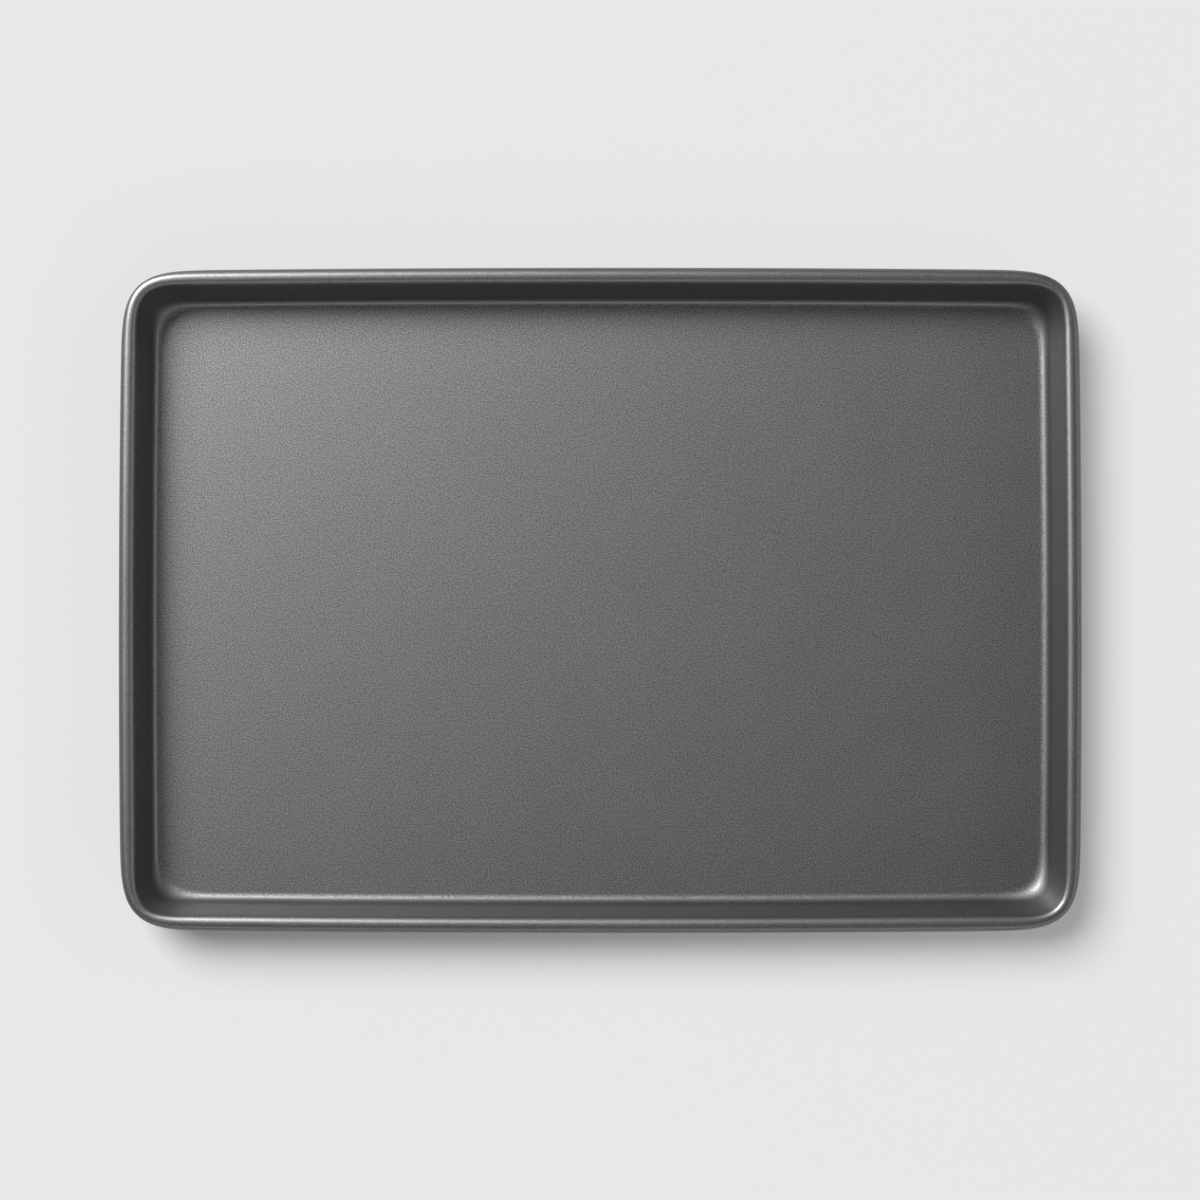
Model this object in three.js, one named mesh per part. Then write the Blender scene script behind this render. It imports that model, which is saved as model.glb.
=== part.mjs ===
// Rimmed baking pan: one deep-drawn tray of coated sheet steel whose edge is
// rolled outward and under, over a loop of round reinforcing wire.
// Millimetres, +Z up. Origin: centre of the footprint, on the surface the pan stands on.
// +X runs along the long side.
import * as THREE from "three";

const rad = THREE.MathUtils.degToRad;

// ---- driving dimensions (mm) ----
const HALF_LENGTH = 220.2; // centre to the outermost edge of the rim, mid short side
const HALF_WIDTH = 152.2; // centre to the outermost edge of the rim, mid long side
const HEIGHT = 25.0; // standing surface to the crown of the rim
const SHEET = 0.7; // sheet thickness
const SHORT_BOW_R = 8830; // the sides bow out a little: radius of a short side in plan
const LONG_BOW_R = 17200; // and of a long side
const EASE_POWER = 1.65; // how a corner's curvature swells and fades along an outline
const RIM_EASE = 15.8; // reach of that swell at the outermost edge
const SHOULDER_EASE = 11.8; // and along the top of the wall
const BASE_EASE = 10.7; // and round the flat base

const DRAFT = rad(13.3); // lean from the vertical of the long, straight stretches of wall
const FOOT_R = 4.65; // inside radius where the wall meets the base, along the sides
const FOOT_GAIN = 1.08; // how much wider that bend gets in the corners, where the wall leans more
// The rim's radii are those on the sides; in the corners the rim's section keeps its shape and shrinks.
const SHOULDER_R = 3.85; // bend from the wall into the rim
const CROWN_R = 5.8; // flat arch across the top of the rim
const CROWN_IN = rad(8.5); // arch's tilt where it meets the shoulder
const CROWN_OUT = rad(3); // arch's tilt where it meets the roll
const ROLL_R = 3.6; // outer roll of the rim
const ROLL_END = rad(230); // where the rolled edge stops, turned from upright

const WIRE_D = 3.0; // reinforcing wire
const WIRE_IN = 2.6; // its middle, in from the outermost edge
const WIRE_GAP = 1.5; // butt gap between the wire's two ends

// Facets along each stretch.
const SIDE_STEPS = 2; // per half side
const CORNER_STEPS = 10;
const FOOT_STEPS = 4;
const SHOULDER_STEPS = 3;
const CROWN_STEPS = 2;
const ROLL_STEPS = 8;
const WIRE_SIDES = 10;

// ---- outlines in plan ----
// A quarter of an outline, from the middle of the +X side to the middle of the +Y side. The sides bow out
// slightly, and the corner's curvature swells and fades smoothly instead of switching on like an arc's.
function quarterOutline(halfX, halfY, ease) {
  const n = 3000;
  let a = halfY - 0.4 * ease; // distance along it to mid corner
  let b = halfX - 0.4 * ease; // and on from there to its end
  let line = null;
  for (let pass = 0; pass < 12; pass++) {
    const ds = (a + b) / n;
    const swell = [];
    const bow = [];
    for (let i = 0; i <= n; i++) {
      swell.push(Math.exp(-Math.pow(Math.abs((i * ds - a) / ease), EASE_POWER)));
      bow.push((i * ds < a ? 1 / SHORT_BOW_R : 1 / LONG_BOW_R) * (1 - swell[i]));
    }
    const sum = (f) => {
      const total = [0];
      for (let i = 1; i <= n; i++) total.push(total[i - 1] + 0.5 * ds * (f[i - 1] + f[i]));
      return total;
    };
    const bowed = sum(bow);
    const turned = sum(swell);
    const share = (Math.PI / 2 - bowed[n]) / turned[n];
    const phi = bowed.map((v, i) => v + share * turned[i]);
    const x = sum(phi.map(Math.sin)).map((v) => halfX - v);
    const y = sum(phi.map(Math.cos));
    line = { ds, n, mid: a, length: a + b, x, y, phi };
    b += x[n];
    a += halfY - y[n];
  }
  return line;
}

const mix = (list, t) => {
  const i = Math.min(Math.max(Math.floor(t), 0), list.length - 2);
  return list[i] + (list[i + 1] - list[i]) * (t - i);
};
const pointAt = (line, s) => new THREE.Vector2(mix(line.x, s / line.ds), mix(line.y, s / line.ds));
const normalAt = (line, s) => {
  const phi = mix(line.phi, s / line.ds);
  return new THREE.Vector2(Math.cos(phi), Math.sin(phi));
};
// distance along an outline at which it has turned by phi
function whereTurned(line, phi) {
  let i = 0;
  while (line.phi[i + 1] < phi) i++;
  return line.ds * (i + (phi - line.phi[i]) / (line.phi[i + 1] - line.phi[i]));
}

// ---- stations of one quarter, with the section's measures at each ----
// On the sides, in from the outermost edge: middle of the roll, of the arch and of the shoulder bend.
const crownIn = ROLL_R + (CROWN_R - ROLL_R) * Math.sin(CROWN_OUT);
const shoulderIn = crownIn + (CROWN_R - SHOULDER_R) * Math.sin(CROWN_IN);
// And how far below the top of the rim.
const rollDown = CROWN_R - (CROWN_R - ROLL_R) * Math.cos(CROWN_OUT);
const shoulderDown = CROWN_R - (CROWN_R - SHOULDER_R) * Math.cos(CROWN_IN);

const quarter = (() => {
  const rim = quarterOutline(HALF_LENGTH, HALF_WIDTH, RIM_EASE);
  const top = quarterOutline(HALF_LENGTH - shoulderIn, HALF_WIDTH - shoulderIn, SHOULDER_EASE);
  // edge of the flat base along the sides, from the wall's lean
  const wallTilt = Math.PI / 2 - DRAFT;
  const wallTop = HEIGHT - shoulderDown + SHOULDER_R * Math.cos(wallTilt);
  const wallFoot = SHEET + FOOT_R * (1 - Math.cos(wallTilt));
  const sideRun = SHOULDER_R * Math.sin(wallTilt) + (wallTop - wallFoot) * Math.tan(DRAFT) + FOOT_R * Math.sin(wallTilt);
  const base = quarterOutline(HALF_LENGTH - shoulderIn - sideRun, HALF_WIDTH - shoulderIn - sideRun, BASE_EASE);

  // closer together where the outline turns more
  const from = whereTurned(rim, rad(2.2));
  const to = whereTurned(rim, rad(87.8));
  const places = [];
  for (let i = 0; i < SIDE_STEPS; i++) places.push((from * i) / SIDE_STEPS);
  for (let i = 0; i <= CORNER_STEPS; i++) places.push(whereTurned(rim, rad(2.2 + (85.6 * i) / CORNER_STEPS)));
  for (let i = 1; i <= SIDE_STEPS; i++) places.push(to + ((rim.length - to) * i) / SIDE_STEPS);

  return places.map((s) => {
    const edge = pointAt(rim, s);
    const out = normalAt(rim, s);
    // where the edge's normal meets the shoulder line
    const across = (i) => (top.x[i] - edge.x) * -out.y + (top.y[i] - edge.y) * out.x;
    let i = 0;
    while (i < top.n - 1 && across(i + 1) < 0) i++;
    const t = i + across(i) / (across(i) - across(i + 1));
    const meet = pointAt(top, t * top.ds);
    const facing = normalAt(top, t * top.ds);
    // the rim's size there, from the room it has
    const room = (edge.x - meet.x) * out.x + (edge.y - meet.y) * out.y;
    const size = room / shoulderIn;
    const shoulder = edge.clone().addScaledVector(out, -room);
    const shoulderZ = HEIGHT - size * shoulderDown;
    // the base edge's station has the same share of side and corner
    const reachTop = 2.4 * SHOULDER_EASE;
    const reachBase = 2.4 * BASE_EASE;
    const s1 = t * top.ds;
    const knots = [
      [0, 0],
      [top.mid - reachTop, base.mid - reachBase],
      [top.mid + reachTop, base.mid + reachBase],
      [top.length, base.length],
    ];
    let j = 0;
    while (j < 2 && s1 > knots[j + 1][0]) j++;
    const [[p0, q0], [p1, q1]] = [knots[j], knots[j + 1]];
    const foot = pointAt(base, q0 + ((q1 - q0) * (s1 - p0)) / (p1 - p0));
    const run = (shoulder.x - foot.x) * facing.x + (shoulder.y - foot.y) * facing.y;
    const bend = FOOT_R + FOOT_GAIN * (run - sideRun);
    // the wall is the line that touches both bends
    const rise = SHEET + bend - shoulderZ;
    const tilt = Math.atan2(run, rise) - Math.acos((size * SHOULDER_R + bend) / Math.hypot(run, rise));
    return { edge, out, shoulder, shoulderZ, foot, size, run, bend, tilt };
  });
})();

// Stations all round, counter-clockwise from the middle of the +X side.
const ring = (() => {
  const n = quarter.length - 1;
  const list = [];
  const put = (i, sx, sy) => {
    const flip = (v) => new THREE.Vector2(v.x * sx, v.y * sy);
    const q = quarter[i];
    list.push({ ...q, edge: flip(q.edge), out: flip(q.out), shoulder: flip(q.shoulder), foot: flip(q.foot) });
  };
  for (let i = 0; i < n; i++) put(i, 1, 1);
  for (let i = n; i > 0; i--) put(i, -1, 1);
  for (let i = 0; i < n; i++) put(i, -1, -1);
  for (let i = n; i > 0; i--) put(i, 1, -1);
  return list;
})();

// ---- sheet section at a station: food side and under side, from the edge of the flat base to the rolled edge ----
// Tilt is that of the food side's normal: 0 is up, positive leans towards the middle of the pan.
const rollZ = (st) => HEIGHT - st.size * rollDown;

function section(st) {
  const food = [];
  const under = [];
  const both = (place) => {
    food.push(place(0));
    under.push(place(SHEET));
  };
  const wallPoint = (v, z, tilt) =>
    both((back) => {
      const p = st.shoulder.clone().lerp(st.foot, (v - back * Math.sin(tilt)) / st.run);
      return new THREE.Vector3(p.x, p.y, z - back * Math.cos(tilt));
    });
  const rimPoint = (u, z, tilt) =>
    both((back) => {
      const p = st.edge.clone().addScaledVector(st.out, back * Math.sin(tilt) - u);
      return new THREE.Vector3(p.x, p.y, z - back * Math.cos(tilt));
    });
  for (let i = 0; i <= FOOT_STEPS; i++) {
    const a = (st.tilt * i) / FOOT_STEPS;
    wallPoint(st.run - st.bend * Math.sin(a), SHEET + st.bend * (1 - Math.cos(a)), a);
  }
  const shoulderR = st.size * SHOULDER_R;
  const crownR = st.size * CROWN_R;
  const rollR = st.size * ROLL_R;
  for (let i = 0; i < SHOULDER_STEPS; i++) {
    const a = st.tilt + ((CROWN_IN - st.tilt) * i) / SHOULDER_STEPS;
    wallPoint(shoulderR * Math.sin(a), st.shoulderZ + shoulderR * Math.cos(a), a);
  }
  for (let i = 0; i <= CROWN_STEPS; i++) {
    const a = CROWN_IN - ((CROWN_IN + CROWN_OUT) * i) / CROWN_STEPS;
    rimPoint(st.size * crownIn + crownR * Math.sin(a), HEIGHT - crownR + crownR * Math.cos(a), a);
  }
  for (let i = 1; i <= ROLL_STEPS; i++) {
    const a = -CROWN_OUT + ((CROWN_OUT - ROLL_END) * i) / ROLL_STEPS;
    rimPoint(rollR + rollR * Math.sin(a), rollZ(st) + rollR * Math.cos(a), a);
  }
  return [food, under];
}

// ---- drawn tray: the sections joined up round the outline, closed across the base ----
function trayGeometry() {
  const sections = ring.map(section);
  const n = ring.length;
  const m = sections[0][0].length;
  const position = [];
  const index = [];
  // Food side first, then the under side one sheet thickness behind it.
  for (const back of [0, 1]) {
    for (let row = 0; row < m; row++) {
      for (const s of sections) position.push(...s[back][row].toArray());
    }
  }
  const at = (back, row, k) => (back * m + row) * n + (k % n);
  const quad = (a, b, c, d) => index.push(a, b, c, a, c, d);
  for (let row = 0; row + 1 < m; row++) {
    for (let k = 0; k < n; k++) {
      quad(at(0, row, k), at(0, row + 1, k), at(0, row + 1, k + 1), at(0, row, k + 1));
      quad(at(1, row, k), at(1, row, k + 1), at(1, row + 1, k + 1), at(1, row + 1, k));
    }
  }
  // cut edge of the rolled rim
  for (let k = 0; k < n; k++) quad(at(0, m - 1, k), at(1, m - 1, k), at(1, m - 1, k + 1), at(0, m - 1, k + 1));
  // flat base, in strips across the width: station k faces station n - k
  const half = n / 2;
  for (let k = 0; k < half; k++) {
    const a = k;
    const b = k + 1;
    const c = (n - k - 1) % n;
    const d = (n - k) % n;
    if (a === d) {
      index.push(at(0, 0, a), at(0, 0, b), at(0, 0, c));
      index.push(at(1, 0, a), at(1, 0, c), at(1, 0, b));
    } else if (b === c) {
      index.push(at(0, 0, a), at(0, 0, b), at(0, 0, d));
      index.push(at(1, 0, a), at(1, 0, d), at(1, 0, b));
    } else {
      quad(at(0, 0, a), at(0, 0, b), at(0, 0, c), at(0, 0, d));
      quad(at(1, 0, a), at(1, 0, d), at(1, 0, c), at(1, 0, b));
    }
  }
  const g = new THREE.BufferGeometry();
  g.setAttribute("position", new THREE.Float32BufferAttribute(position, 3));
  g.setIndex(index);
  g.computeVertexNormals();
  return g;
}

// ---- reinforcing wire: one length bent round the rim, its ends butted in the middle of a long side ----
class RimLoop extends THREE.Curve {
  constructor(inward, gap) {
    super();
    const n = ring.length;
    const start = (3 * n) / 4; // middle of the -Y side
    this.points = [];
    this.sides = [];
    for (let k = 0; k <= n; k++) {
      const st = ring[(start + k) % n];
      const p = st.edge.clone().addScaledVector(st.out, -inward);
      this.points.push(new THREE.Vector3(p.x, p.y, rollZ(st)));
      this.sides.push(st.out);
    }
    this.points[0].x += gap / 2;
    this.points[n].x -= gap / 2;
  }
  get steps() {
    return this.points.length - 1;
  }
  // Stations are the outline's own, so the parameter steps from one to the next.
  getUtoTmapping(u) {
    return u;
  }
  getPoint(t, target = new THREE.Vector3()) {
    const x = t * this.steps;
    const i = Math.min(Math.floor(x + 1e-9), this.steps - 1);
    return target.lerpVectors(this.points[i], this.points[i + 1], x - i);
  }
  getTangent(t, target = new THREE.Vector3()) {
    const out = this.sides[Math.round(t * this.steps)];
    return target.set(-out.y, out.x, 0);
  }
}

function wireGeometry() {
  const loop = new RimLoop(WIRE_IN, WIRE_GAP);
  const round = new THREE.Shape();
  round.absarc(0, 0, WIRE_D / 2, 0, Math.PI * 2, false);
  const disc = new THREE.Shape(round.getPoints(WIRE_SIDES).slice(0, WIRE_SIDES));
  return new THREE.ExtrudeGeometry(disc, { steps: loop.steps, extrudePath: loop });
}

// ---- assembly ----
const coating = new THREE.MeshStandardMaterial({ color: 0x626263, roughness: 0.42, metalness: 0.8 });
const zinc = new THREE.MeshStandardMaterial({ color: 0xa9abac, roughness: 0.38, metalness: 1.0 });

const tray = new THREE.Mesh(trayGeometry(), coating);
tray.name = "pan_tray";
const wire = new THREE.Mesh(wireGeometry(), zinc);
wire.name = "rim_wire";

const pan = new THREE.Group();
pan.add(tray, wire);
export default pan;
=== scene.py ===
import math

import bpy
import numpy as np
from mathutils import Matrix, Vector


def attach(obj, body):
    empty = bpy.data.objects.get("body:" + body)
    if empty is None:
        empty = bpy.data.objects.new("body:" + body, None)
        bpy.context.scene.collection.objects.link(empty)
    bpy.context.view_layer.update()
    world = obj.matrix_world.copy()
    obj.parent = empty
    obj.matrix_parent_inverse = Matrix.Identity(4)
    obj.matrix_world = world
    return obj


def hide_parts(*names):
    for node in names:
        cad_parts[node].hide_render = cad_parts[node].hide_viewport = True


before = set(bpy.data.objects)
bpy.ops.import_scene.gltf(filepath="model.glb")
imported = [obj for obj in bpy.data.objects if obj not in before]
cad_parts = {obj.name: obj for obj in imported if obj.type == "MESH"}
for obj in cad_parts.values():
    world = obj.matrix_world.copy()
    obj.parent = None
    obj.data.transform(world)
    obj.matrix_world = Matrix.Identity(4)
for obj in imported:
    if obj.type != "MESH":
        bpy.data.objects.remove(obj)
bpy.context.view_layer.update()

scene = bpy.context.scene

# ------------------------------------------------------------------ the pan's dimensions, in metres
HALF_LENGTH = 0.2202   # centre to the outermost edge of the rim, mid short side
HALF_WIDTH = 0.1522    # centre to the outermost edge of the rim, mid long side
HEIGHT = 0.0250        # standing surface to the crown of the rim
SHEET = 0.0007         # sheet thickness
SHORT_BOW_R = 8.83     # the sides bow out a little: radius of a short side in plan
LONG_BOW_R = 17.2      # and of a long side
EASE_POWER = 1.65      # how a corner's curvature swells and fades along the outline
RIM_EASE = 0.0158      # reach of that swell at the outermost edge
SHOULDER_EASE = 0.0118 # and along the top of the wall
BASE_EASE = 0.0107     # and round the flat base
DRAFT = math.radians(13.3)   # lean of the long, straight stretches of wall
FOOT_R = 0.00465        # bend between base and wall along the sides
FOOT_GAIN = 1.08        # how much wider that bend gets in the corners, where the wall leans more
SHOULDER_R = 0.00385    # bend from the wall into the rim, on the sides as all of the rim's radii
CROWN_R = 0.0058       # flat arch across the top of the rim
CROWN_IN = math.radians(8.5)    # arch's tilt where it meets the shoulder
CROWN_OUT = math.radians(3.0)   # and where it meets the roll
ROLL_R = 0.0036        # outer roll of the rim
ROLL_END = math.radians(230.0)  # where the rolled edge stops, turned from upright
WIRE_D = 0.0030        # reinforcing wire
WIRE_IN = 0.0026      # its middle, in from the outermost edge
WIRE_GAP = 0.0015      # butt gap between the wire's two ends

# facets along each stretch
SIDE_STEPS = 22        # per half side
CORNER_STEPS = 64
FOOT_STEPS = 18
SHOULDER_STEPS = 12
CROWN_STEPS = 10
ROLL_STEPS = 34
WIRE_SIDES = 28

# ------------------------------------------------------------------ outlines in plan


def quarter(half_x, half_y, ease):
    """A quarter of an outline, from the middle of the +X side to the middle of the +Y side.

    The sides bow slightly and the corner's curvature swells and fades smoothly.
    Gives the distance along it, its points, its normals, and the distance at mid corner.
    """
    n = 4001
    a, b = half_y - 0.4 * ease, half_x - 0.4 * ease
    for _ in range(12):
        s = np.linspace(0.0, a + b, n)
        ds = s[1]

        def run(f):
            return np.concatenate(([0.0], np.cumsum(0.5 * (f[1:] + f[:-1])) * ds))

        swell = np.exp(-np.abs((s - a) / ease) ** EASE_POWER)
        sides = run(np.where(s < a, 1 / SHORT_BOW_R, 1 / LONG_BOW_R) * (1 - swell))
        corner = run(swell)
        phi = sides + corner * (math.pi / 2 - sides[-1]) / corner[-1]
        x = half_x - run(np.sin(phi))
        y = run(np.cos(phi))
        b += x[-1]
        a += half_y - y[-1]
    normal = np.stack((np.cos(phi), np.sin(phi)), 1)
    return s, np.stack((x, y), 1), normal, a


def along(outline, s):
    return np.stack([np.interp(s, outline[0], outline[1][:, i]) for i in (0, 1)], 1)


def facing(outline, s):
    return np.stack([np.interp(s, outline[0], outline[2][:, i]) for i in (0, 1)], 1)


def layout():
    """Stations of one quarter: rim edge and its normal, shoulder line and base edge, and the section's measures at each."""
    lay = {}
    rim = quarter(HALF_LENGTH, HALF_WIDTH, RIM_EASE)
    reach = 2.15 * RIM_EASE
    mid, total = rim[3], rim[0][-1]
    s = np.concatenate((np.linspace(0, mid - reach, SIDE_STEPS, endpoint=False),
                        np.linspace(mid - reach, mid + reach, CORNER_STEPS, endpoint=False),
                        np.linspace(mid + reach, total, SIDE_STEPS + 1)))
    edge, out = along(rim, s), facing(rim, s)

    # the shoulder line, met by each normal of the rim; the rim's section shrinks to the room it has there
    u0 = ROLL_R + (CROWN_R - ROLL_R) * math.sin(CROWN_OUT) + (CROWN_R - SHOULDER_R) * math.sin(CROWN_IN)
    top = quarter(HALF_LENGTH - u0, HALF_WIDTH - u0, SHOULDER_EASE)
    u_top, s_top = np.zeros(len(s)), np.zeros(len(s))
    for i in range(len(s)):
        rel = top[1] - edge[i]
        across = rel @ np.array((-out[i][1], out[i][0]))
        u_top[i] = np.interp(0.0, across, -(rel @ out[i]))
        s_top[i] = np.interp(0.0, across, top[0])
    q = u_top / u0
    shoulder_z = HEIGHT - q * (CROWN_R - (CROWN_R - SHOULDER_R) * math.cos(CROWN_IN))

    # flat base: its edge on the straight stretches follows from the wall's lean
    wall = math.pi / 2 - DRAFT
    z0 = HEIGHT - CROWN_R + (CROWN_R - SHOULDER_R) * math.cos(CROWN_IN)
    drop = (z0 + SHOULDER_R * math.cos(wall)) - (SHEET + FOOT_R * (1 - math.cos(wall)))
    run0 = SHOULDER_R * math.sin(wall) + drop * math.tan(DRAFT) + FOOT_R * math.sin(wall)
    base = quarter(HALF_LENGTH - u0 - run0, HALF_WIDTH - u0 - run0, BASE_EASE)
    # stations of the base edge: the same shares of side and corner as on the shoulder line
    c_top, c_base = 2.4 * SHOULDER_EASE, 2.4 * BASE_EASE
    s_base = np.interp(s_top, (0, top[3] - c_top, top[3] + c_top, top[0][-1]),
                       (0, base[3] - c_base, base[3] + c_base, base[0][-1]))
    shoulder = edge - (q * u0)[:, None] * out
    foot = along(base, s_base)
    run = ((shoulder - foot) * facing(top, s_top)).sum(1)
    bend = FOOT_R + FOOT_GAIN * (run - run0)
    # the wall is the line that touches both bends
    du, dz = run, SHEET + bend - shoulder_z
    tilt = np.arctan2(du, dz) - np.arccos((q * SHOULDER_R + bend) / np.hypot(du, dz))
    lay.update(edge=edge, out=out, shoulder=shoulder, foot=foot, q=q, run=run, bend=bend, tilt=tilt, shoulder_z=shoulder_z)
    return lay


def ring(q):
    """A quarter's stations mirrored round all four quarters, counter-clockwise from +X."""
    n = len(q) - 1
    parts = []
    for (sx, sy), order in (((1, 1), range(n)), ((-1, 1), range(n, 0, -1)), ((-1, -1), range(n)), ((1, -1), range(n, 0, -1))):
        parts.append(q[list(order)] * np.array((sx, sy)))
    return np.concatenate(parts)


def ring1(q):
    n = len(q) - 1
    return np.concatenate((q[:n], q[n:0:-1], q[:n], q[n:0:-1]))


def loops():
    """The sheet's section at every station, food side and under side, each a list of (points in plan, heights)."""
    lay = layout()
    edge, out, shoulder, foot = (ring(lay[k]) for k in ("edge", "out", "shoulder", "foot"))
    q, run, bend, tilt, shoulder_z = (ring1(lay[n]) for n in ("q", "run", "bend", "tilt", "shoulder_z"))
    shoulder_r, crown_r, roll_r = q * SHOULDER_R, q * CROWN_R, q * ROLL_R
    crown_u, crown_z = roll_r + (crown_r - roll_r) * math.sin(CROWN_OUT), HEIGHT - crown_r
    roll_z = crown_z + (crown_r - roll_r) * math.cos(CROWN_OUT)
    food, under = [], []

    def from_shoulder(v, z, a):
        for back, rows in ((0.0, food), (SHEET, under)):
            w = v - back * np.sin(a)
            rows.append((shoulder + (w / run)[:, None] * (foot - shoulder), z - back * np.cos(a)))

    def from_edge(u, z, a):
        for back, rows in ((0.0, food), (SHEET, under)):
            rows.append((edge - (u - back * np.sin(a))[:, None] * out, z - back * np.cos(a)))

    flat = np.zeros(len(q))
    from_shoulder(run + 0.0004, flat + SHEET, flat)
    for i in range(FOOT_STEPS + 1):
        a = tilt * i / FOOT_STEPS
        from_shoulder(run - bend * np.sin(a), SHEET + bend * (1 - np.cos(a)), a)
    v0, z0 = run - bend * np.sin(tilt), SHEET + bend * (1 - np.cos(tilt))
    v1, z1 = shoulder_r * np.sin(tilt), shoulder_z + shoulder_r * np.cos(tilt)
    for s in (0.04, 0.15, 0.32, 0.5, 0.68, 0.85, 0.96):
        from_shoulder(v0 + (v1 - v0) * s, z0 + (z1 - z0) * s, tilt)
    for i in range(SHOULDER_STEPS):
        a = tilt + (CROWN_IN - tilt) * i / SHOULDER_STEPS
        from_shoulder(shoulder_r * np.sin(a), shoulder_z + shoulder_r * np.cos(a), a)
    for i in range(CROWN_STEPS + 1):
        a = flat + CROWN_IN - (CROWN_IN + CROWN_OUT) * i / CROWN_STEPS
        from_edge(crown_u + crown_r * np.sin(a), crown_z + crown_r * np.cos(a), a)
    for i in range(1, ROLL_STEPS + 1):
        a = flat - CROWN_OUT + (CROWN_OUT - ROLL_END) * i / ROLL_STEPS
        from_edge(roll_r + roll_r * np.sin(a), roll_z + roll_r * np.cos(a), a)
    # the rolled sheet's cut edge, eased
    lip = []
    so, co = math.sin(-ROLL_END), math.cos(-ROLL_END)
    mid_u, mid_z = roll_r + (roll_r - 0.5 * SHEET) * so, roll_z + (roll_r - 0.5 * SHEET) * co
    for t in (30, 60, 90, 120, 150):
        c, s = 0.5 * SHEET * math.cos(math.radians(t)), 0.275 * SHEET * math.sin(math.radians(t))
        u, z = mid_u + c * so - s * co, mid_z + c * co + s * so
        lip.append((edge - u[:, None] * out, z))
    wire_line = np.column_stack((edge - WIRE_IN * out, roll_z))
    return food + lip + under[::-1], wire_line, out


def tray_mesh():
    """The drawn sheet as one closed mesh: food side, rounded cut edge, under side, and a grid across both faces of the base."""
    rows = loops()[0]
    m, n = len(rows), len(rows[0][1])
    verts = [(x, y, z) for xy, zz in rows for (x, y), z in zip(xy, zz)]
    faces = []
    for r in range(m - 1):
        for k in range(n):
            k2 = (k + 1) % n
            faces.append((r * n + k, (r + 1) * n + k, (r + 1) * n + k2, r * n + k2))

    # flat base: a grid between the two long edges, with a D-shaped end at each short side
    qb = SIDE_STEPS + CORNER_STEPS
    half = n // 2

    def base(row, up):
        idx = lambda k: row * n + (k % n)
        co = lambda k: verts[idx(k)]
        z = co(0)[2]
        right = [k % n for k in range(-qb, qb + 1)]
        left = [(half - k) % n for k in range(-qb, qb + 1)]
        top = list(range(qb, half - qb + 1))
        bottom = [(n - k) % n for k in top]
        ys = [co(k)[1] for k in right]
        share = [(y - ys[0]) / (ys[-1] - ys[0]) for y in ys]
        rows_n = len(right)
        grid = []
        for kt, kb in zip(top, bottom):
            column = [idx(kb)]
            (xt, yt, _), (xb, yb, _) = co(kt), co(kb)
            for j in range(1, rows_n - 1):
                s = share[j]
                verts.append((xb + (xt - xb) * s, yb + (yt - yb) * s, z))
                column.append(len(verts) - 1)
            column.append(idx(kt))
            grid.append(column)

        def put(*f):
            f = [v for i, v in enumerate(f) if v != f[i - 1]]
            if len(f) > 2:
                faces.append(tuple(f) if up else tuple(reversed(f)))

        for i in range(len(grid) - 1):
            for j in range(rows_n - 1):
                put(grid[i][j], grid[i][j + 1], grid[i + 1][j + 1], grid[i + 1][j])
        for j in range(rows_n - 1):
            put(idx(right[j]), idx(right[j + 1]), grid[0][j + 1], grid[0][j])
            put(grid[-1][j], grid[-1][j + 1], idx(left[j + 1]), idx(left[j]))

    base(0, True)
    base(m - 1, False)
    me = bpy.data.meshes.new("pan_tray_shell")
    me.from_pydata(verts, [], faces)
    me.validate()
    me.shade_smooth()
    me.update()
    return me


def wire_mesh():
    """The reinforcing wire: a round bar bent round the rim, its two sawn ends butted in the middle of the -Y side."""
    _, line, out = loops()
    n = len(line)
    start = 3 * n // 4
    order = [(start + k) % n for k in range(n + 1)]
    path, normal = line[order].copy(), out[order]
    path[0][0] += WIRE_GAP / 2
    path[-1][0] -= WIRE_GAP / 2
    r = WIRE_D / 2
    verts, faces = [], []
    # each end: a flat face with an eased edge
    cuts = [(0, 0.0, 0.80), (0, 0.00022, 0.95), (0, 0.0005, 1.0)]
    cuts += [(k, 0.0, 1.0) for k in range(1, n)]
    cuts += [(n, -0.0005, 1.0), (n, -0.00022, 0.95), (n, 0.0, 0.80)]
    for k, shift, scale in cuts:
        nx, ny = normal[k]
        x, y, z = path[k][0] - shift * ny, path[k][1] + shift * nx, path[k][2]
        for s in range(WIRE_SIDES):
            a = 2 * math.pi * s / WIRE_SIDES
            c = scale * r * math.cos(a)
            verts.append((x + c * nx, y + c * ny, z + scale * r * math.sin(a)))
    m = len(cuts)
    for i in range(m - 1):
        for s in range(WIRE_SIDES):
            s2 = (s + 1) % WIRE_SIDES
            faces.append((i * WIRE_SIDES + s, (i + 1) * WIRE_SIDES + s,
                          (i + 1) * WIRE_SIDES + s2, i * WIRE_SIDES + s2))
    faces.append(tuple(range(WIRE_SIDES)))
    faces.append(tuple((m - 1) * WIRE_SIDES + s for s in reversed(range(WIRE_SIDES))))
    me = bpy.data.meshes.new("rim_wire_bar")
    me.from_pydata(verts, [], faces)
    me.validate()
    me.shade_smooth()
    me.update()
    return me


def add_object(name, me):
    o = bpy.data.objects.new(name, me)
    scene.collection.objects.link(o)
    return o


# ------------------------------------------------------------------ materials


def new_material(name):
    m = bpy.data.materials.new(name)
    m.use_nodes = True
    nt = m.node_tree
    return m, nt, nt.nodes["Principled BSDF"]


def node(nt, kind, **sockets):
    n = nt.nodes.new(kind)
    for key, value in sockets.items():
        n.inputs[key.replace("_", " ")].default_value = value
    return n


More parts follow.
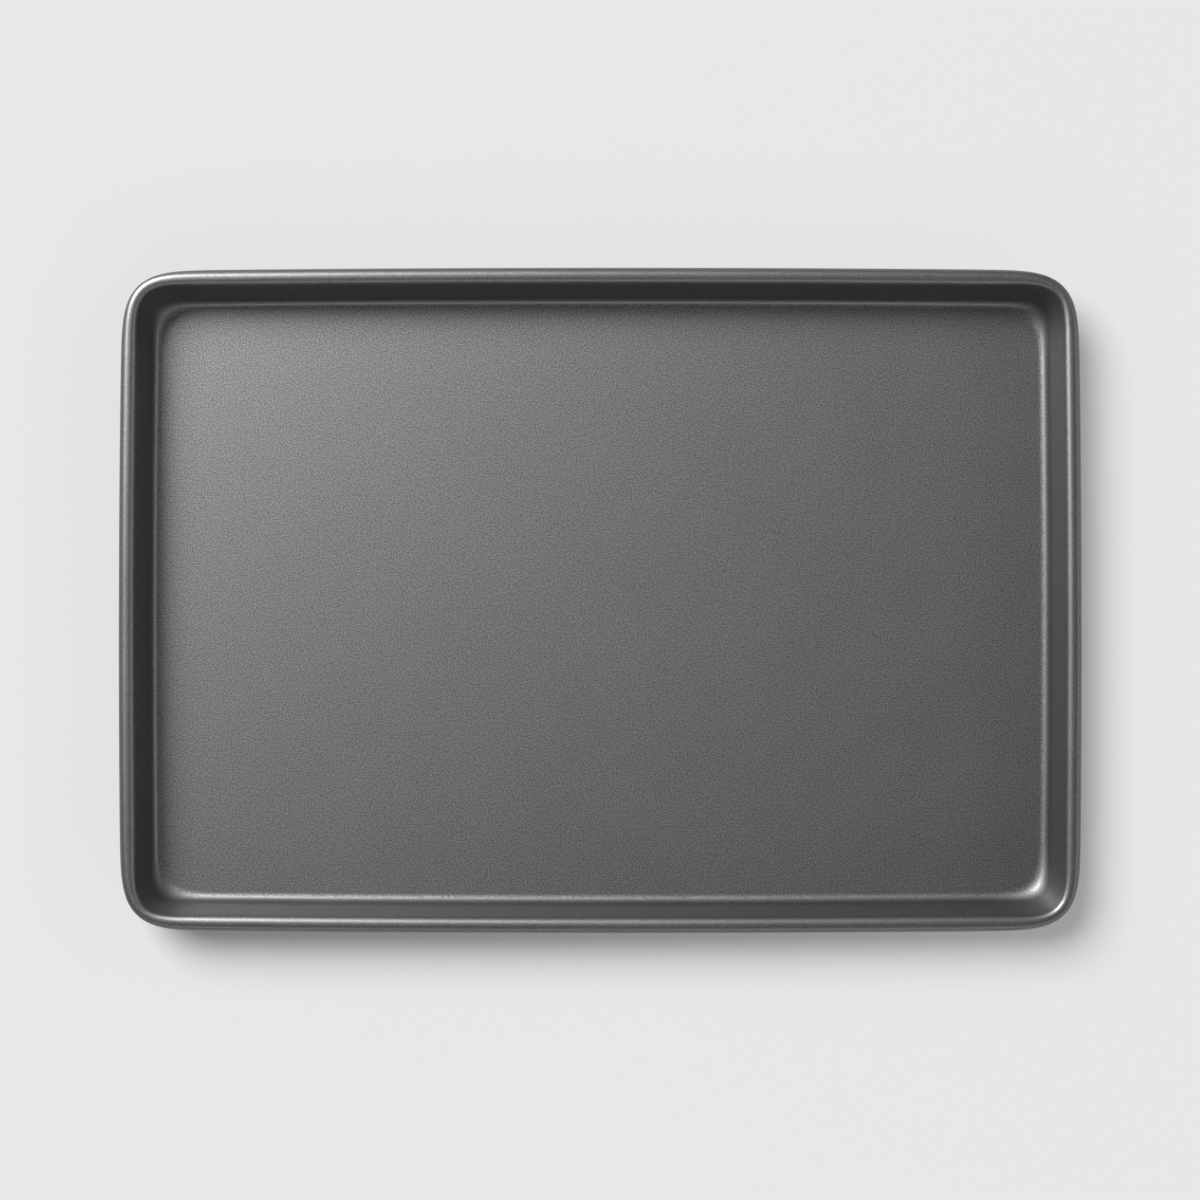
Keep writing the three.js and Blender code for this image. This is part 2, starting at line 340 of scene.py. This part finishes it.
def coating_material():
    """Satin metallic non-stick coat: a dark grey film full of fine flake, faintly uneven."""
    m, nt, bsdf = new_material("nonstick_coating")
    link = nt.links.new
    coord = nt.nodes.new("ShaderNodeTexCoord").outputs["Object"]

    grain = node(nt, "ShaderNodeTexNoise", Scale=1500.0, Detail=1.0, Roughness=0.5)
    fine = node(nt, "ShaderNodeTexNoise", Scale=2600.0, Detail=1.0, Roughness=0.5)
    cloud = node(nt, "ShaderNodeTexNoise", Scale=22.0, Detail=3.0, Roughness=0.5)
    for n in (grain, fine, cloud):
        link(coord, n.inputs["Vector"])

    # the film is tighter and glossier where the sheet is bent than on the flat base, and its flake shows less
    up = nt.nodes.new("ShaderNodeSeparateXYZ")
    link(coord, up.inputs[0])
    flake = node(nt, "ShaderNodeMapRange", From_Min=0.0008, From_Max=0.0014, To_Min=1.0, To_Max=0.5)
    link(up.outputs["Z"], flake.inputs["Value"])
    off = nt.nodes.new("ShaderNodeMath")
    off.operation = "SUBTRACT"
    link(grain.outputs["Fac"], off.inputs[0])
    spread = nt.nodes.new("ShaderNodeMath")
    spread.operation = "MULTIPLY_ADD"
    link(off.outputs["Value"], spread.inputs[0])
    link(flake.outputs["Result"], spread.inputs[1])
    off.inputs[1].default_value = 0.5
    # the flake tone is also paler on the bends: a painted lift of the walls' and rim's highlights
    pale = node(nt, "ShaderNodeMapRange", From_Min=0.0008, From_Max=0.0014, To_Min=0.5, To_Max=0.56)
    link(up.outputs["Z"], pale.inputs["Value"])
    link(pale.outputs["Result"], spread.inputs[2])
    tone = nt.nodes.new("ShaderNodeValToRGB")
    tone.color_ramp.elements[0].position = 0.30
    tone.color_ramp.elements[0].color = (0.083, 0.083, 0.0823, 1)
    tone.color_ramp.elements[1].position = 0.70
    tone.color_ramp.elements[1].color = (0.198, 0.198, 0.1963, 1)
    link(spread.outputs["Value"], tone.inputs["Fac"])
    link(tone.outputs["Color"], bsdf.inputs["Base Color"])

    gloss = node(nt, "ShaderNodeMapRange", From_Min=0.0008, From_Max=0.0014, To_Min=0.565, To_Max=0.455)
    link(up.outputs["Z"], gloss.inputs["Value"])
    patchy = node(nt, "ShaderNodeMapRange", From_Min=0.3, From_Max=0.7, To_Min=-0.015, To_Max=0.015)
    link(cloud.outputs["Fac"], patchy.inputs["Value"])
    even = nt.nodes.new("ShaderNodeMath")
    link(gloss.outputs["Result"], even.inputs[0])
    link(patchy.outputs["Result"], even.inputs[1])

    # the drawn corners are stretched the most, low down, and the film is duller there
    dull = node(nt, "ShaderNodeMapRange", From_Min=0.0008, From_Max=0.0014).outputs["Result"]
    link(up.outputs["Z"], dull.node.inputs["Value"])
    for axis, near, far in (("X", 0.178, 0.198), ("Y", 0.110, 0.130), ("Z", 0.026, 0.006)):
        away = nt.nodes.new("ShaderNodeMath")
        away.operation = "ABSOLUTE"
        link(up.outputs[axis], away.inputs[0])
        share = node(nt, "ShaderNodeMapRange", From_Min=near, From_Max=far)
        link(away.outputs["Value"], share.inputs["Value"])
        both = nt.nodes.new("ShaderNodeMath")
        both.operation = "MULTIPLY"
        link(dull, both.inputs[0])
        link(share.outputs["Result"], both.inputs[1])
        dull = both.outputs["Value"]

    def duller(socket, by, to):
        n = nt.nodes.new("ShaderNodeMath")
        n.operation = "MULTIPLY_ADD"
        n.inputs[1].default_value = by
        link(dull, n.inputs[0])
        link(socket, n.inputs[2])
        link(n.outputs["Value"], bsdf.inputs[to])

    duller(even.outputs["Value"], 0.10, "Roughness")

    bump = node(nt, "ShaderNodeBump", Strength=1.0, Distance=0.000012)
    link(grain.outputs["Fac"], bump.inputs["Height"])
    bump2 = node(nt, "ShaderNodeBump", Strength=1.0, Distance=0.000004)
    link(fine.outputs["Fac"], bump2.inputs["Height"])
    link(bump.outputs["Normal"], bump2.inputs["Normal"])
    link(bump2.outputs["Normal"], bsdf.inputs["Normal"])

    bsdf.inputs["Metallic"].default_value = 0.99
    clear = node(nt, "ShaderNodeMapRange", From_Min=0.0008, From_Max=0.0014, To_Min=0.20, To_Max=0.42)
    link(up.outputs["Z"], clear.inputs["Value"])
    duller(clear.outputs["Result"], -0.24, "Coat Weight")
    bsdf.inputs["Coat Roughness"].default_value = 0.16
    bsdf.inputs["Coat IOR"].default_value = 1.5
    return m


def zinc_material():
    """Drawn, galvanised steel wire."""
    m, nt, bsdf = new_material("zinc_wire")
    link = nt.links.new
    coord = nt.nodes.new("ShaderNodeTexCoord").outputs["Object"]
    spangle = node(nt, "ShaderNodeTexNoise", Scale=320.0, Detail=3.0, Roughness=0.6)
    link(coord, spangle.inputs["Vector"])
    tone = nt.nodes.new("ShaderNodeValToRGB")
    tone.color_ramp.elements[0].position = 0.3
    tone.color_ramp.elements[0].color = (0.30, 0.305, 0.31, 1)
    tone.color_ramp.elements[1].position = 0.7
    tone.color_ramp.elements[1].color = (0.46, 0.465, 0.47, 1)
    link(spangle.outputs["Fac"], tone.inputs["Fac"])
    link(tone.outputs["Color"], bsdf.inputs["Base Color"])
    rough = node(nt, "ShaderNodeMapRange", From_Min=0.3, From_Max=0.7, To_Min=0.32, To_Max=0.46)
    link(spangle.outputs["Fac"], rough.inputs["Value"])
    link(rough.outputs["Result"], bsdf.inputs["Roughness"])
    bump = node(nt, "ShaderNodeBump", Strength=1.0, Distance=0.00002)
    link(spangle.outputs["Fac"], bump.inputs["Height"])
    link(bump.outputs["Normal"], bsdf.inputs["Normal"])
    bsdf.inputs["Metallic"].default_value = 1.0
    return m


# ------------------------------------------------------------------ pieces

coating = coating_material()
zinc = zinc_material()

tray = add_object("pan_tray_shell", tray_mesh())
tray.data.materials.append(coating)
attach(tray, "root")
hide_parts("pan_tray")

wire = add_object("rim_wire_bar", wire_mesh())
wire.data.materials.append(zinc)
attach(wire, "root")
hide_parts("rim_wire")

# ------------------------------------------------------------------ floor

floor_me = bpy.data.meshes.new("floor")
floor_me.from_pydata([(-40, -40, 0), (40, -40, 0), (40, 40, 0), (-40, 40, 0)], [], [(0, 1, 2, 3)])
floor = add_object("floor", floor_me)
floor.location.z = -0.00005
fm, fnt, fb = new_material("floor_paper")
# the floor glows, painted light that grows towards the right so that the shadow there is paler; its colour darkens
# towards the right to keep the unshadowed floor evenly bright
fc = fnt.nodes.new("ShaderNodeTexCoord")
fx = fnt.nodes.new("ShaderNodeSeparateXYZ")
fnt.links.new(fc.outputs["Object"], fx.inputs[0])
for socket, left, right in (("Base Color", 0.2305, 0.1797), ("Emission Strength", 0.145, 0.287)):
    ramp = node(fnt, "ShaderNodeMapRange", From_Min=-0.22, From_Max=0.22, To_Min=left, To_Max=right)
    fnt.links.new(fx.outputs["X"], ramp.inputs["Value"])
    fnt.links.new(ramp.outputs["Result"], fb.inputs[socket])
fb.inputs["Roughness"].default_value = 0.9
fb.inputs["Specular IOR Level"].default_value = 0.0
fb.inputs["Emission Color"].default_value = (1.0, 0.996, 1.03, 1)
floor.data.materials.append(fm)

# ------------------------------------------------------------------ light

world = bpy.data.worlds.new("studio")
scene.world = world
world.use_nodes = True
wt = world.node_tree
bg = wt.nodes["Background"]
# dim overhead, a little paler low down, and a long low reflector on the right and near sides
wc = wt.nodes.new("ShaderNodeTexCoord")
wz = wt.nodes.new("ShaderNodeSeparateXYZ")
sky = wt.nodes.new("ShaderNodeValToRGB")
wt.links.new(wc.outputs["Generated"], wz.inputs[0])
wt.links.new(wz.outputs["Z"], sky.inputs["Fac"])
sky.color_ramp.elements[0].position = 0.10
sky.color_ramp.elements[0].color = (0.195, 0.195, 0.211, 1)
sky.color_ramp.elements[1].position = 0.60
sky.color_ramp.elements[1].color = (0.212, 0.212, 0.229, 1)
for at, v in ((0.012, 0.195), (0.0, 0.800)):  # as pale as the floor at the horizon
    sky.color_ramp.elements.new(at).color = (v, v, v, 1)
toward = wt.nodes.new("ShaderNodeVectorMath")
toward.operation = "DOT_PRODUCT"
toward.inputs[1].default_value = (math.cos(math.radians(-41.0)), math.sin(math.radians(-41.0)), 0.0)
wt.links.new(wc.outputs["Generated"], toward.inputs[0])
side = wt.nodes.new("ShaderNodeMapRange")
side.interpolation_type = "SMOOTHSTEP"
side.inputs["From Min"].default_value = -0.25
side.inputs["From Max"].default_value = 0.55
side.inputs["To Max"].default_value = 1.95
wt.links.new(toward.outputs["Value"], side.inputs["Value"])
band = wt.nodes.new("ShaderNodeValToRGB")
band.color_ramp.interpolation = "EASE"
band.color_ramp.elements[0].position = 0.33
band.color_ramp.elements[1].position = 0.62
for e in band.color_ramp.elements:
    e.color = (0, 0, 0, 1)
for at in (0.43, 0.52):
    band.color_ramp.elements.new(at).color = (1, 1, 1, 1)
wt.links.new(wz.outputs["Z"], band.inputs["Fac"])
reflector = wt.nodes.new("ShaderNodeMath")
reflector.operation = "MULTIPLY"
wt.links.new(side.outputs["Result"], reflector.inputs[0])
wt.links.new(band.outputs["Color"], reflector.inputs[1])
total = wt.nodes.new("ShaderNodeVectorMath")
total.operation = "ADD"
wt.links.new(sky.outputs["Color"], total.inputs[0])
wt.links.new(reflector.outputs["Value"], total.inputs[1])
wt.links.new(total.outputs["Vector"], bg.inputs["Color"])


def from_direction(o, v):
    o.rotation_mode = "QUATERNION"
    o.rotation_quaternion = (-Vector(v)).to_track_quat("-Z", "Y")
    scene.collection.objects.link(o)


key_d = bpy.data.lights.new("key_softbox", "AREA")
key_d.shape = "SQUARE"
key_d.size = 0.61
key_d.energy = 40.0
key = bpy.data.objects.new("key_softbox", key_d)
key.location = (-0.737, 0.746, 0.910)
key.visible_camera = False
from_direction(key, key.location)

floor_sun_d = bpy.data.lights.new("floor_light", "SUN")
floor_sun_d.energy = 10.4
floor_sun_d.angle = math.radians(40.0)
floor_sun = bpy.data.objects.new("floor_light", floor_sun_d)
from_direction(floor_sun, (-0.62, 0.62, 1.0))

# the softbox lights the pan only, the sun the floor only
pan_only = bpy.data.collections.new("lit_pan")
for o in (tray, wire):
    pan_only.objects.link(o)
floor_only = bpy.data.collections.new("lit_floor")
floor_only.objects.link(floor)
key.light_linking.receiver_collection = pan_only
floor_sun.light_linking.receiver_collection = floor_only

# ------------------------------------------------------------------ camera: from above, the long side across

cam_d = bpy.data.cameras.new("camera")
cam_d.sensor_width = 36.0
cam_d.lens = 98.65
cam = bpy.data.objects.new("camera", cam_d)
CAM = (0.0074, -0.0235, 1.525)
cam.location = CAM
cam.rotation_euler = (math.atan2(-CAM[1], CAM[2] - 0.022), math.atan2(CAM[0], CAM[2] - 0.022), 0.0)
scene.collection.objects.link(cam)
scene.camera = cam

scene.view_settings.view_transform = "Standard"
scene.view_settings.look = "None"
